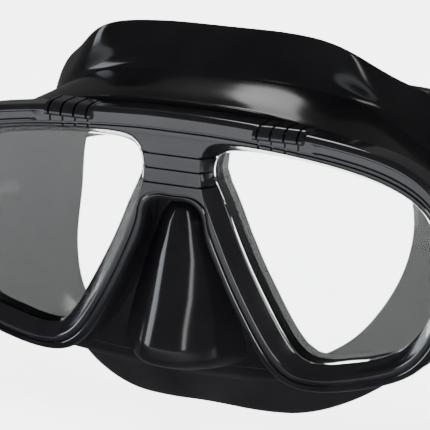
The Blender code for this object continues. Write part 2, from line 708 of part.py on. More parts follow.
def build_buckle(side, hand, parts):
    plastic, steel, nylon = parts

    def plate(name, outline, axis, low, high, stuff=plastic):
        if axis == 0:
            low, high = sorted((side * low, side * high))
        elif axis == 2:
            outline = flipped(outline, side)
        return prism(name, outline, axis, low, high, stuff)

    outer_x = BUCKLE_X + BUCKLE_THICK
    body = plate(f"buckle_body_{hand}", stadium((PIVOT_Y, 0), (26, 0), BUCKLE_R), 0, BUCKLE_X, outer_x)
    web = [(-3.9, 30.2), (7.1, 30.2), (8.7, 33.4), (-3.9, 33.4)]
    cheek = [
        (-3.9, 30.8), (8.5, 30.8), (10.1, 38.5), (10.1, 43), (8.5, 45.6), (0.5, 47.6), (-3.1, 46.4), (-3.9, 44),
    ]
    join(body, plate(f"buckle_web_{hand}", web, 2, -CHEEK_OUT_Z + 0.1, CHEEK_OUT_Z - 0.1))
    join(body, plate(f"buckle_cheek_top_{hand}", cheek, 2, CHEEK_IN_Z, CHEEK_OUT_Z))
    join(body, plate(f"buckle_cheek_base_{hand}", cheek, 2, -CHEEK_OUT_Z, -CHEEK_IN_Z))
    cut(body, plate(f"screw_hole_{hand}", circle((PIVOT_Y, 0), SCREW_R + RUN), 0, BUCKLE_X - 1, outer_x + 1))
    cut(body, plate(f"screw_recess_{hand}", circle((PIVOT_Y, 0), 4.1), 0, outer_x - 1.3, outer_x + 1))
    for name, x, y in (("roller", 0, ROLLER_Y), ("lever", LEVER_X, LEVER_Y)):
        cut(body, plate(f"{name}_pin_hole_{hand}", circle((x, y), PIN_HOLE_R), 2, -12, 12))
        plate(f"{name}_pin_{hand}", circle((x, y), PIN_R), 2, -PIN_HALF, PIN_HALF, steel)

    sleeve = circle((0, ROLLER_Y), ROLLER_R, 20)
    roller = plate(f"strap_roller_{hand}", sleeve, 2, -ROLLER_HALF, ROLLER_HALF, nylon)
    cut(roller, plate(f"roller_bore_{hand}", circle((0, ROLLER_Y), PIN_HOLE_R), 2, -9, 9))

    tab = [
        (6.1, 39.8), (7.2, 39.0), (8.7, 39.1), (9.7, 40.2), (10.2, 43), (9.9, 55), (10.8, 59.6), (10.1, 61),
        (8.9, 60.4), (8.1, 56), (7.4, 48), (5.75, 44.4), (5.7, 41),
    ]
    lever = plate(f"release_lever_{hand}", tab, 2, -LEVER_HALF, LEVER_HALF)
    cut(lever, plate(f"lever_bore_{hand}", circle((LEVER_X, LEVER_Y), PIN_HOLE_R), 2, -9, 9))
    cut(lever, plate(f"spring_slot_{hand}", rectangle((4.5, 37), (11.5, 44.2)), 2, -2.6, 2.6))
    cut(lever, plate(f"spring_leg_slot_{hand}", rectangle((4.5, 44), (7.2, 52)), 2, 1.2, 2.6))
    build_spring(side, hand, steel)

    screw = circle((PIVOT_Y, 0), SCREW_R)
    shank = plate(f"pivot_screw_{hand}", screw, 0, LUG_IN_X + 0.2, outer_x - 0.6, steel)
    join(shank, plate(f"screw_head_{hand}", circle((PIVOT_Y, 0), 3.7), 0, outer_x - 1.0, outer_x + 0.4))
    slot = rectangle((PIVOT_Y - 5, -0.5), (PIVOT_Y + 5, 0.5))
    cut(shank, plate(f"screw_slot_{hand}", slot, 0, outer_x - 0.3, outer_x + 1))
    disc = circle((PIVOT_Y, 0), 5.2, 20)
    washer = plate(f"swivel_washer_{hand}", disc, 0, BUCKLE_X - 0.6, BUCKLE_X - 0.3, nylon)
    hole = circle((PIVOT_Y, 0), SCREW_R + RUN)
    cut(washer, plate(f"washer_hole_{hand}", hole, 0, BUCKLE_X - 2, BUCKLE_X + 2))


def build_keeper(side, hand, rubber):
    outline = rectangle((STRAP_X - ROLLER_X - 2.6, KEEPER_Y - 3), (TAIL_X - ROLLER_X + 2.6, KEEPER_Y + 3))
    keeper = prism(f"strap_keeper_{hand}", flipped(outline, side), 2, -7.7, 7.7, rubber)
    inside = rectangle((STRAP_X - ROLLER_X - 1.3, KEEPER_Y - 5), (TAIL_X - ROLLER_X + 1.3, KEEPER_Y + 5))
    cut(keeper, prism(f"keeper_opening_{hand}", flipped(inside, side), 2, -6.35, 6.35, rubber))


def main():
    for obj in list(bpy.data.objects):
        bpy.data.objects.remove(obj)
    plastic = material("gloss_black_plastic", (0.012, 0.012, 0.013), 0.12)
    rubber = material("black_silicone", (0.01, 0.01, 0.011), 0.16)
    glass = material("tempered_glass", (0.9, 0.95, 0.94), 0.02, alpha=0.2)
    steel = material("stainless_steel", (0.62, 0.63, 0.64), 0.25, 1.0)
    nylon = material("grey_nylon", (0.35, 0.35, 0.36), 0.45)
    build_frame(plastic)
    build_skirt(rubber)
    build_strap(rubber)
    for side, hand in ((1, "left"), (-1, "right")):
        build_lens(side, hand, glass)
        build_retainer(side, hand, plastic)
        build_buckle(side, hand, (plastic, steel, nylon))
        build_keeper(side, hand, rubber)


main()
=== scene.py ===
"""Looks of the twin-lens diving mask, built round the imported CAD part.

Curves are in design millimetres: X to the wearer's left, Y backwards from the frame's front face, Z up from
the buckle pivots. in_world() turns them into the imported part's frame, in metres.
"""

import json
import math

import bmesh
import bpy
import numpy as np
from mathutils import Matrix, Vector
from mathutils.geometry import tessellate_polygon

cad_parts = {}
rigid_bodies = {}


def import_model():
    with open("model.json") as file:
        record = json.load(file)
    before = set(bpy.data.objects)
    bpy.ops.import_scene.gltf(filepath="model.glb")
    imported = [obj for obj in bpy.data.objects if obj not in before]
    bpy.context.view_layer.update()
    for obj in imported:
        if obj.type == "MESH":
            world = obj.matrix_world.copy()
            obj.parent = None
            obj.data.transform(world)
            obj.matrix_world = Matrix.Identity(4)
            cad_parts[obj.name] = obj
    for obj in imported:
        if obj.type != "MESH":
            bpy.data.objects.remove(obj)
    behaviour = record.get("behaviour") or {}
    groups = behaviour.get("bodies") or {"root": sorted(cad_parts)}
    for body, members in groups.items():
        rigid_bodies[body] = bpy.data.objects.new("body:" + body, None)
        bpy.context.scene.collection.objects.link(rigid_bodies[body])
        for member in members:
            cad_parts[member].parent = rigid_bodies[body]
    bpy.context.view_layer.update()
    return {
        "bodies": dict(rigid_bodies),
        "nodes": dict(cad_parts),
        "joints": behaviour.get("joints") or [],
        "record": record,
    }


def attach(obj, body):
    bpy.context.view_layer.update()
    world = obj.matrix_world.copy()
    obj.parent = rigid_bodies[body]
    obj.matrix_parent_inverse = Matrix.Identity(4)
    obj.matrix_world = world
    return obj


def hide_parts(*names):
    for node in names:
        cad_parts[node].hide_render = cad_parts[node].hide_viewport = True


MM = 0.001
ORIGIN_Y = 50.7
FLOOR_Z = 56.22

# Frame
FRAME_DEPTH = 8.0
LENS_EDGE_Y = 4.0
SEAT_REACH = 2.0
SEAT_Y = 5.2
GROOVE_DEPTH = 0.6
RIB_X = (25.5, 29.4, 33.3, 37.2)
RIB_WIDTH = 0.7
PAD_RISE = 1.1
PAD_TOP = 33.5
BRIDGE_GROOVE_Z = (22.6, 18.55, 14.45)
CHANNEL_START_X = 42.5
CHANNEL_DEPTH = 0.55
CHANNEL_LOW_FADE = (46, 50)
EDGE_ROUND_IN = 1.35
EDGE_ROUND_BACK = 1.7
LUG_IN_X = 82.0
LUG_THICK = 3.0
LUG_R = 7.6
LUG_FRONT_Y = 2.2
PIVOT_Y = 18.0
SCREW_R = 1.88
FRAME_COUNT = 360
EYE_COUNT = 220

# Lens
LENS_FRONT_Y = 4.1
LENS_BACK_Y = 7.7
LENS_REACH = 1.6

# Skirt
PANEL_FRONT_Y = 8.3
PANEL_BACK_Y = 10.3
WALL = 2.2
LIP = 0.9
LIP_STEP = 0.6
SKIRT_COUNT = 300
SKIRT_LOW = -56.2
SKIRT_HIGH = 50.98
POCKET_ROUND = 5.0
POCKET_POWER = 2.6
POCKET_FLARE = 0.16
POCKET_WALL = 2.0

# Strap
ROLLER_X = 84.3
ROLLER_Y = 42.0
STRAP_TURN_R = 4.3
STRAP_THICK = 2.0
STRAP_X = ROLLER_X - STRAP_TURN_R
STRAP_HALF = 6.0
STRAP_BACK_HALF = 12.0
STRAP_STRAIGHT_Y = 70.0
STRAP_BACK_Y = 108.0
STRAP_RISE = 9.5
TAIL_X = STRAP_X + 2.3
TAIL_END_Y = 79.0
TAIL_BEND_Y = 59.0
TAIL_POINTS = 26
SLOT_HALF = 1.4
SLOT_STEPS = 36

# Outlines of the right-hand half, seen from the front, as (x, z): from the top middle round to the nose
FRAME_OUTLINE = [
    (0, 34.2), (15, 33.9), (36, 32.6), (52, 30.7), (66, 27.3), (75.5, 21), (80.8, 11.5), (82.6, 0),
    (81.2, -10.5), (77, -21.2), (70.3, -29), (61, -33.9), (51, -37), (41, -38.6), (33.8, -37.7),
    (28.6, -34.4), (23.6, -28.2), (19.6, -21.6), (15.9, -14.6), (12.6, -7.6), (9.9, -1.4), (8.8, 3.4),
    (7.8, 7.1), (5.4, 9.2), (0, 9.5),
]
GROOVE_LINE = [
    (0, 29.4), (15, 29.2), (36, 27.7), (52, 25.7), (65, 22.2), (73.6, 16.8), (78.4, 8.8), (80.1, -0.5),
    (78.9, -10.2), (75, -20.2), (68.8, -27.6), (60.2, -31.8), (50.4, -34.8), (41, -36.3), (35, -35.5),
    (30.6, -32.8), (25.8, -26.9), (21.8, -20.2), (18.1, -13.4), (14.8, -6.5), (12.1, -0.3), (10.6, 4.8),
    (9.5, 9), (6.3, 11.2), (0, 11.4),
]
RIDGE = [
    (8.5, 17.5), (8.9, 22.4), (11, 25.9), (16, 27.3), (24, 27.3), (37, 26.3), (52, 24.2), (64.5, 20.7),
    (72.6, 15.6), (77, 8.2), (78.6, -0.6), (77.4, -9.8), (73.6, -19.2), (67.8, -26.2), (59.6, -30.3),
    (50, -33.2), (41.2, -34.6), (36, -33.9), (32.2, -31.6), (27.4, -25.8), (23.4, -19.3), (19.8, -12.6),
    (16.5, -5.8), (13.9, 0.2), (11.6, 5.7), (9.4, 12),
]
LENS_EDGE = [
    (10.8, 17.3), (11.2, 20.9), (13, 23.6), (17.2, 24.9), (24, 25.2), (37, 24.4), (51, 22.5), (62.5, 19.6),
    (70, 15.8), (74.8, 8.4), (76.6, -0.8), (75.2, -9), (71.6, -16.8), (66, -23.4), (58.6, -27.4),
    (49.6, -30), (41, -31.4), (37, -30.6), (33.6, -27.7), (29.6, -22), (26, -15.8), (22.6, -9.6),
    (19.4, -3.1), (16.7, 3.1), (14.3, 8.9), (12.1, 13.4),
]
SKIRT_ROOT = [
    (0, 8.3, 33.2), (22, 8.3, 32.6), (45, 8.3, 29.9), (65, 8.3, 25.4), (76.5, 8.3, 15.8), (81.3, 8.3, -1),
    (77.6, 8.3, -18), (70, 8.3, -28.2), (56, 8.3, -34.6), (41, 8.3, -37.7), (28, 8.3, -38.8),
    (14, 8.3, -39.6), (0, 8.3, -39.9),
]
SKIRT_SHOULDER = [
    (0, 9.9, 35.5), (22, 10, 34.8), (44.5, 10.8, 30.3), (63, 13.2, 24.2), (76, 15.5, 13.4), (79.3, 20, -2),
    (75, 18.5, -18), (67, 16, -28.4), (54, 14.5, -35), (40, 13.5, -38.6), (27, 12.8, -40.6),
    (13.5, 12.4, -41.8), (0, 12.2, -42.2),
]
SKIRT_FOLD = [
    (0, 27, 39.6), (22, 28, 39), (42, 32, 34.2), (55, 39, 24.4), (63.6, 46.5, 11.4), (66.8, 52, -3),
    (63.6, 47, -18), (56, 37.5, -29), (44, 29, -35.8), (33, 23, -39.6), (23, 20.5, -43), (11.5, 18.8, -45.2),
    (0, 18.2, -45.8),
]
SKIRT_RIM = [
    (0, 35, 51), (21, 34.4, 50.6), (38, 32, 47.9), (50.2, 40.5, 38.9), (63.2, 51.5, 26), (72, 58, -1),
    (69, 54, -18), (62.6, 46, -31.4), (53.4, 38, -42.4), (42.6, 31.2, -49.8), (30, 27.4, -54.8),
    (15.5, 25, -56.2), (0, 24.2, -55.6),
]
SKIRT_LIP = [
    (0, 34, 33.4), (19, 34.6, 32.4), (35, 37.6, 27.6), (46, 42, 19), (51.6, 45.6, 8), (53, 46.4, -4),
    (51.6, 41, -16), (47, 34, -26), (40.5, 29.4, -33), (32, 27.4, -38), (22, 26.2, -42), (11, 25, -44.6),
    (0, 24.6, -45.2),
]
POCKET = [
    (9, 2.4, 3.6, 7.2), (7, 3.2, 4.9, 4.6), (3, 4.9, 7.4, 3), (-7, 6.9, 11.2, 0.8), (-17, 8.4, 14, -2.2),
    (-25, 9.5, 15.8, -5.6), (-30, 10.4, 16.6, -7.4), (-33.5, 11.2, 17, -7.6),
]

# Camera: the direction it looks from, its distance, and the picture plane's offsets, in design millimetres
CAMERA_AZIMUTH = math.radians(26)
CAMERA_ELEVATION = math.radians(16.5)
CAMERA_DISTANCE = 700.0
CAMERA_RIGHT = 11.622
CAMERA_UP = 5.676
CAMERA_LENS = 216.84
SENSOR = 36.0

# The range that noise textures mostly cover
NOISE_LOW = 0.3
NOISE_HIGH = 0.7


# Curves


def closed_spline(points, knots, count):
    """Points of the closed cubic spline through points, even in the parameter that knots sets."""
    p = np.array(points, float)
    n = len(p)
    t = np.append(knots, knots[-1] + (knots[-1] - knots[-2]))
    h = np.diff(t)
    system = np.zeros((n, n))
    right = np.zeros_like(p)
    for i in range(n):
        before, after = h[i - 1], h[i]
        system[i, i - 1] += before
        system[i, i] += 2 * (before + after)
        system[i, (i + 1) % n] += after
        right[i] = 6 * ((p[(i + 1) % n] - p[i]) / after - (p[i] - p[i - 1]) / before)
    bend = np.linalg.solve(system, right)
    at = np.linspace(t[0], t[-1], count, endpoint=False)
    k = np.clip(np.searchsorted(t, at, side="right") - 1, 0, n - 1)
    nxt = (k + 1) % n
    a = ((t[k + 1] - at) / h[k])[:, None]
    b = 1 - a
    step = (h[k] ** 2)[:, None] / 6
    return a * p[k] + b * p[nxt] + ((a**3 - a) * bend[k] + (b**3 - b) * bend[nxt]) * step


def chord_knots(points):
    p = np.array(points, float)
    return np.append(0, np.cumsum(np.linalg.norm(np.diff(p, axis=0), axis=1)))


def evened(loop, count):
    closed = np.vstack([loop, loop[:1]])
    along = chord_knots(closed)
    at = np.linspace(0, along[-1], count, endpoint=False)
    return np.stack([np.interp(at, along, closed[:, i]) for i in range(loop.shape[1])], 1)


def eye_loop(points, side=1, count=EYE_COUNT):
    fine = closed_spline(points, chord_knots(points), 8 * count)
    return evened(fine, count) * (side, 1)


def mirrored(half):
    other = [(-p[0], *p[1:]) for p in half[-2:0:-1]]
    return list(half) + other


def frame_loop(half):
    return closed_spline(mirrored(half), chord_knots(mirrored(FRAME_OUTLINE)), FRAME_COUNT)


def skirt_loop(half):
    return closed_spline(mirrored(half), chord_knots(mirrored(SKIRT_FOLD)), SKIRT_COUNT)


def outward(loop):
    along = np.roll(loop, -1, 0) - np.roll(loop, 1, 0)
    normal = np.stack([-along[:, 1], along[:, 0]], 1)
    normal /= np.linalg.norm(normal, axis=1)[:, None]
    area = np.sum(loop[:, 0] * np.roll(loop[:, 1], -1) - loop[:, 1] * np.roll(loop[:, 0], -1))
    return normal if area < 0 else -normal


def grown(loop, distance):
    return loop + np.asarray(distance).reshape(-1, 1) * outward(loop)


def at_depth(loop, y):
    return np.stack([loop[:, 0], np.broadcast_to(y, len(loop)), loop[:, 1]], 1)


def eased(value, low, high):
    s = np.clip((value - low) / (high - low), 0, 1)
    return s * s * (3 - 2 * s)


def in_world(points):
    return (np.asarray(points, float) - (0, ORIGIN_Y, -FLOOR_Z)) * MM


def blend_points(a, b, t, low, high):
    return (a * (high - t) + b * (t - low)) / (high - low)


def rounded_section(corners, samples):
    """Rings of the centripetal curve through each step's corners: corners is [step][corner][xyz]."""
    mean = corners.mean(0)
    n = corners.shape[1]
    rings = []
    for i in range(n):
        index = [(i + k) % n for k in (-1, 0, 1, 2)]
        p = [corners[:, k] for k in index]
        knot = [0.0]
        for a, b in zip(index, index[1:]):
            knot.append(knot[-1] + math.sqrt(max(np.linalg.norm(mean[b] - mean[a]), 0.2)))
        for t in np.linspace(knot[1], knot[2], samples, endpoint=False):
            first = [blend_points(p[k], p[k + 1], t, knot[k], knot[k + 1]) for k in range(3)]
            second = [blend_points(first[k], first[k + 1], t, knot[k], knot[k + 2]) for k in range(2)]
            rings.append(blend_points(second[0], second[1], t, knot[1], knot[2]))
    return rings


# Meshes


class Shell:
    """Points and faces of one closed surface, collected ring by ring."""

    def __init__(self):
        self.points = []
        self.faces = []

    def ring(self, points):
        first = len(self.points)
        self.points.extend(points)
        return list(range(first, len(self.points)))

    def band(self, a, b):
        n = len(a)
        for i in range(n):
            j = (i + 1) % n
            self.faces.append((a[i], a[j], b[j], b[i]))

    def bands(self, rings):
        for a, b in zip(rings, rings[1:]):
            self.band(a, b)

    def flat(self, *rings):
        flat = [[(self.points[i][0], self.points[i][2], 0) for i in ring] for ring in rings]
        index = [i for ring in rings for i in ring]
        for triangle in tessellate_polygon(flat):
            self.faces.append([index[i] for i in triangle])

    def mesh(self, name):
        mesh = bpy.data.meshes.new(name)
        points = [tuple(p) for p in in_world(self.points)]
        mesh.from_pydata(points, [], [tuple(map(int, f)) for f in self.faces])
        work = bmesh.new()
        work.from_mesh(mesh)
        bmesh.ops.recalc_face_normals(work, faces=work.faces)
        work.to_mesh(mesh)
        work.free()
        return mesh


def placed(name, mesh):
    obj = bpy.data.objects.new(name, mesh)
    bpy.context.scene.collection.objects.link(obj)
    return obj


def smoothed(obj, angle=32):
    obj.data.shade_smooth()
    obj.data.set_sharp_from_angle(angle=math.radians(angle))
    weigh = obj.modifiers.new("weigh", "WEIGHTED_NORMAL")
    weigh.keep_sharp = True
    return obj


def prism(name, outline, axis, low, high):
    """An outline extruded along an axis. Its two coordinates are the other axes, in X, Y, Z order."""
    shell = Shell()
    rings = []
    for level in (low, high):
        rings.append(shell.ring([np.insert(np.array(p, float), axis, level) for p in outline]))
    shell.band(*rings)
    shell.faces += rings
    return placed(name, shell.mesh(name))


def circle(centre, radius, count=48):
    turn = [2 * math.pi * i / count for i in range(count)]
    return [(centre[0] + radius * math.cos(a), centre[1] + radius * math.sin(a)) for a in turn]


def combined(target, others, operation):
    """target with each of the others joined to it or cut from it; the others are used up."""
    for other in others:
        modifier = target.modifiers.new("combine", "BOOLEAN")
        modifier.operation = operation
        modifier.object = other
    bpy.context.view_layer.update()
    result = bpy.data.meshes.new_from_object(target.evaluated_get(bpy.context.evaluated_depsgraph_get()))
    target.modifiers.clear()
    target.data = result
    for other in others:
        bpy.data.objects.remove(other)
    return target


# Frame


def channel_depth(outline):
    """Depth of the outer band's shallow channel at each step: none over the nose and the brow's middle."""
    x = np.abs(outline[:, 0])
    upper = eased(x, CHANNEL_START_X - 1.5, CHANNEL_START_X + 1.5)
    lower = eased(x, *CHANNEL_LOW_FADE)
    return CHANNEL_DEPTH * np.where(outline[:, 1] > 0, upper, lower)


def frame_edge_rings(shell, outline, groove):
    """Rings from the frame's back edge over its rounded side and front band to the groove's inner edge."""
    rings = [shell.ring(at_depth(grown(outline, -0.5), FRAME_DEPTH))]
    rings.append(shell.ring(at_depth(grown(outline, -0.15), FRAME_DEPTH - 0.12)))
    rings.append(shell.ring(at_depth(outline, FRAME_DEPTH - 0.5)))
    for turn in np.radians((0, 15, 30, 45, 60, 75, 90)):
        loop = grown(outline, -EDGE_ROUND_IN * (1 - math.cos(turn)))
        rings.append(shell.ring(at_depth(loop, EDGE_ROUND_BACK * (1 - math.sin(turn)))))
    inner = grown(groove, 0.45)
    edge = grown(outline, -EDGE_ROUND_IN)
    depth = channel_depth(outline)
    for share, sunk in ((0.1, 0), (0.22, 1), (0.78, 1), (0.9, 0)):
        rings.append(shell.ring(at_depth(edge + share * (inner - edge), depth * sunk)))
    for distance, y in ((0.45, 0), (0.3, 0.1), (0.24, 0.6), (-0.24, 0.6), (-0.3, 0.1), (-0.45, 0)):
        rings.append(shell.ring(at_depth(grown(groove, distance), y)))
    return rings


def eye_rings(shell, side):
    """Rings from an eye's rounded ridge down its sloping wall and under the lip to the lens seat."""
    ridge = eye_loop(RIDGE, side)
    edge = eye_loop(LENS_EDGE, side)
    seat = grown(edge, SEAT_REACH)
    rings = [shell.ring(at_depth(grown(ridge, 0.45), 0)), shell.ring(at_depth(grown(ridge, 0.15), 0.08))]
    for share, y in ((0.05, 0.3), (0.3, 1.35), (0.6, 2.5), (0.9, 3.55), (1.0, 3.8)):
        rings.append(shell.ring(at_depth(ridge + share * (edge - ridge), y)))
    rings.append(shell.ring(at_depth(edge, LENS_EDGE_Y)))
    rings.append(shell.ring(at_depth(seat, SEAT_Y)))
    rings.append(shell.ring(at_depth(seat, FRAME_DEPTH)))
    return rings


def frame_shell():
    outline = frame_loop(FRAME_OUTLINE)
    groove = frame_loop(GROOVE_LINE)
    shell = Shell()
    outer = frame_edge_rings(shell, outline, groove)
    shell.bands(outer)
    eyes = [eye_rings(shell, side) for side in (1, -1)]
    for rings in eyes:
        shell.bands(rings)
    shell.flat(outer[-1], *[rings[0] for rings in eyes])
    shell.flat(outer[0], *[rings[-1] for rings in eyes])
    return placed("frame_shell", shell.mesh("frame_shell"))


def rib_blades():
    outline = frame_loop(FRAME_OUTLINE)
    top = outline[(outline[:, 0] > 0) & (outline[:, 1] > 10)]
    top = top[np.argsort(top[:, 0])]
    blades = []
    for side in (1, -1):
        for x in RIB_X:
            z = np.interp(x, top[:, 0], top[:, 1])
            profile = [
                (-2, 27.0), (0.3, 27.0), (GROOVE_DEPTH, 27.6), (GROOVE_DEPTH, z - 1.7), (1.2, z - 0.9),
                (2.2, z - 0.55), (FRAME_DEPTH + 1, z - 0.55), (FRAME_DEPTH + 1, z + 2), (-2, z + 2),
            ]
            blades.append(prism("blade", profile, 0, side * x - RIB_WIDTH / 2, side * x + RIB_WIDTH / 2))
    return blades


def rib_pad(side):
    """Raised pad on the front band, which the four grooves part into blocks."""
    profile = [
        (1, 29.6), (-0.6, 29.8), (-0.95, 30.0), (-PAD_RISE, 30.35), (-PAD_RISE, PAD_TOP - 2.4),
        (-0.85, PAD_TOP - 1.7), (-0.2, PAD_TOP - 0.9), (0.8, PAD_TOP - 0.25), (2.2, PAD_TOP),
        (FRAME_DEPTH - 0.4, PAD_TOP), (FRAME_DEPTH - 0.4, PAD_TOP - 2), (3, PAD_TOP - 2),
    ]
    low, high = sorted((side * (RIB_X[0] - 1.3), side * (RIB_X[-1] + 1.3)))
    return prism("pad", profile, 0, low, high)


def bridge_blades():
    half = [(7.8, 0.75), (10.6, 4.3), (12, 4.3), (12, -1)]
    profile = [(-x, y) for x, y in half[::-1]] + half
    return [prism("blade", profile, 2, z - 0.36, z + 0.36) for z in BRIDGE_GROOVE_Z]


def lug(side):
    turns = [math.pi / 2 - math.pi * i / 32 for i in range(33)]
    end = [(PIVOT_Y + LUG_R * math.cos(a), LUG_R * math.sin(a)) for a in turns]
    front = [(LUG_FRONT_Y, -LUG_R + 2), (LUG_FRONT_Y, LUG_R - 2), (LUG_FRONT_Y + 2, LUG_R)]
    outline = [*front, *end, (LUG_FRONT_Y + 2, -LUG_R)]
    low, high = sorted((side * LUG_IN_X, side * (LUG_IN_X + LUG_THICK)))
    made = prism("lug", outline, 0, low, high)
    low, high = sorted((side * (LUG_IN_X - 2), side * (LUG_IN_X + LUG_THICK + 2)))
    combined(made, [prism("hole", circle((PIVOT_Y, 0), SCREW_R), 0, low, high)], "DIFFERENCE")
    rounding = made.modifiers.new("round", "BEVEL")
    rounding.width = 0.5 * MM
    rounding.segments = 3
    rounding.angle_limit = math.radians(40)
    return combined(made, [], "UNION")


def make_frame():
    frame = combined(frame_shell(), [rib_pad(1), rib_pad(-1)], "UNION")
    combined(frame, [*rib_blades(), *bridge_blades()], "DIFFERENCE")
    combined(frame, [lug(1), lug(-1)], "UNION")
    frame.name = "frame_moulding"
    return smoothed(frame)


# Lenses, retainers and skirt


def make_lens(side, hand):
    edge = eye_loop(LENS_EDGE, side)
    shell = Shell()
    levels = (
        (-0.35, LENS_FRONT_Y), (-0.2, LENS_FRONT_Y + 0.08), (LENS_REACH - 0.1, 5.4), (LENS_REACH, 5.6),
        (LENS_REACH, 6.4), (LENS_REACH - 0.1, 6.6), (0.25, LENS_BACK_Y - 0.08), (0.1, LENS_BACK_Y),
    )
    rings = [shell.ring(at_depth(grown(edge, out), y)) for out, y in levels]
    shell.bands(rings)
    shell.flat(rings[0])
    shell.flat(rings[-1])
    return smoothed(placed(f"lens_pane_{hand}", shell.mesh("lens")), 20)


def skirt_corners():
    curves = [skirt_loop(c) for c in (SKIRT_ROOT, SKIRT_SHOULDER, SKIRT_FOLD, SKIRT_RIM, SKIRT_LIP)]
    root, shoulder, fold, rim, lip = curves
    away = outward(fold[:, [0, 2]])
    n = np.stack([away[:, 0], np.zeros(len(away)), away[:, 1]], 1)
    back = np.array([0.0, 1.0, 0.0])

    def shifted(curve, out, behind):
        return curve + out * n + behind * back

    thin = shifted(lip, 0, -LIP / 2)
    middle = shifted((fold + lip) / 2, -0.3, 0.5)
    inside = shifted(fold, -WALL, -0.6)
    corners = [
        root,
        shoulder,
        shifted((shoulder + fold) / 2, 0.3, 0),
        shifted(0.16 * shoulder + 0.84 * fold, 0.35, 0),
        shifted(fold, 0.3, -0.4),
        shifted((fold + rim) / 2, 0.2, -0.8),
        shifted(rim, 0, -LIP / 2),
        shifted(rim, 0, LIP / 2),
        shifted((fold + rim) / 2, -0.4, 1.2),
        shifted(fold, -1.2, 2.4),
        shifted((fold + lip) / 2, 0.4, 2.0),
        shifted(lip, 0, LIP / 2),
        thin,
        0.34 * thin + 0.66 * middle,
        0.26 * thin + 0.74 * middle - LIP_STEP * back,
        middle - 0.9 * LIP_STEP * back,
        0.4 * middle + 0.6 * inside - 0.6 * LIP_STEP * back,
        0.3 * middle + 0.7 * inside + 0.3 * back,
        inside,
        shifted((shoulder + fold) / 2, 0.4 - WALL, 0),
        shifted(shoulder, -WALL, 0.2),
        shifted(root, -WALL, 0),
    ]
    return np.stack(corners, 1)


def skirt_ring():
    shell = Shell()
    rings = []
    for points in rounded_section(skirt_corners(), 5):
        points[:, 2] = np.clip(points[:, 2], SKIRT_LOW, SKIRT_HIGH)
        rings.append(shell.ring(points))
    shell.bands([*rings, rings[0]])
    return placed("skirt_ring", shell.mesh("skirt_ring"))


def skirt_panel():
    """The flat web behind the frame, with a port behind each lens and one behind the nose pocket."""
    root = grown(skirt_loop(SKIRT_ROOT)[:, [0, 2]], -1.1)
    holes = [grown(eye_loop(LENS_EDGE, side), 0.3) for side in (1, -1)] + [pocket_port()]
    shell = Shell()
    front = [shell.ring(at_depth(loop, PANEL_FRONT_Y)) for loop in (root, *holes)]
    rear = [shell.ring(at_depth(loop, PANEL_BACK_Y)) for loop in (root, *holes)]
    for a, b in zip(front, rear):
        shell.band(a, b)
    shell.flat(*front)
    shell.flat(*rear)
    return placed("skirt_panel", shell.mesh("skirt_panel"))


def pocket_size(z, wall, end):
    """Half-widths at the pocket's front and root, and how far it stands forward, at one height."""
    table = np.array(POCKET)[::-1]
    below = max(0.0, POCKET[-1][0] - z) / end
    shrink = math.sqrt(max(0.0, 1 - below**2))
    front, root, ridge = [np.interp(z, table[:, 0], table[:, i]) for i in (1, 2, 3)]
    narrowed = 0.62 + 0.38 * shrink
    height = (PANEL_FRONT_Y + 1 - ridge - wall) * shrink
    return (front - wall) * narrowed, (root - wall) * narrowed, height


def pocket_levels(wall, count):
    end = POCKET_ROUND - wall
    straight = list(np.linspace(POCKET[0][0] - wall, POCKET[-1][0], count))
    return straight + [POCKET[-1][0] - end * math.sin(a) for a in np.radians(np.linspace(6, 87, 14))]


def pocket_port():
    """Outline of the pocket's hollow where it meets the panel, as an (x, z) loop."""
    levels = pocket_levels(POCKET_WALL, 30)
    half = []
    for z in levels:
        _, root, height = pocket_size(z, POCKET_WALL, POCKET_ROUND - POCKET_WALL)
        half.append((root + POCKET_FLARE * height, z))
    return evened(np.array(half + [(-x, z) for x, z in half[::-1]]), 120)


def pocket_skin(wall, count=61):
    """Rows of the arched pocket from its top down, set in by wall; each row runs from side to side."""
    turn = np.linspace(0, 1, count)
    turn = math.pi * (turn - 0.06 * np.sin(2 * math.pi * turn))
    across = np.sign(np.cos(turn)) * np.abs(np.cos(turn)) ** (2 / POCKET_POWER)
    forward = np.abs(np.sin(turn)) ** (2 / POCKET_POWER)
    flare = np.sign(np.cos(turn)) * np.clip(1 - forward / 0.4, 0, 1) ** 2
    rows = []
    for z in pocket_levels(wall, 44):
        front, root, height = pocket_size(z, wall, POCKET_ROUND - wall)
        x = across * (root - (root - front) * forward) + flare * POCKET_FLARE * height
        rows.append(np.stack([x, PANEL_FRONT_Y + 1 - height * forward, np.full(count, z)], 1))
    return rows


def skirt_pocket():
    shell = Shell()
    sheets = []
    for wall in (0, POCKET_WALL):
        sheets.append([shell.ring(row) for row in pocket_skin(wall)])
    for rows in sheets:
        for a, b in zip(rows, rows[1:]):
            shell.faces += [(a[i], a[i + 1], b[i + 1], b[i]) for i in range(len(a) - 1)]
        shell.faces += [rows[0], rows[-1]]
    outer, inner = sheets
    edges = [[row[0] for row in rows] + [row[-1] for row in rows[::-1]] for rows in (outer, inner)]
    shell.band(*edges)
    return placed("skirt_pocket", shell.mesh("skirt_pocket"))


def joined(name, pieces):
    work = bmesh.new()
    for piece in pieces:
        work.from_mesh(piece.data)
        bpy.data.objects.remove(piece)
    mesh = bpy.data.meshes.new(name)
    work.to_mesh(mesh)
    work.free()
    return placed(name, mesh)


def make_skirt():
    return smoothed(joined("skirt_moulding", [skirt_ring(), skirt_panel(), skirt_pocket()]), 50)


# Strap


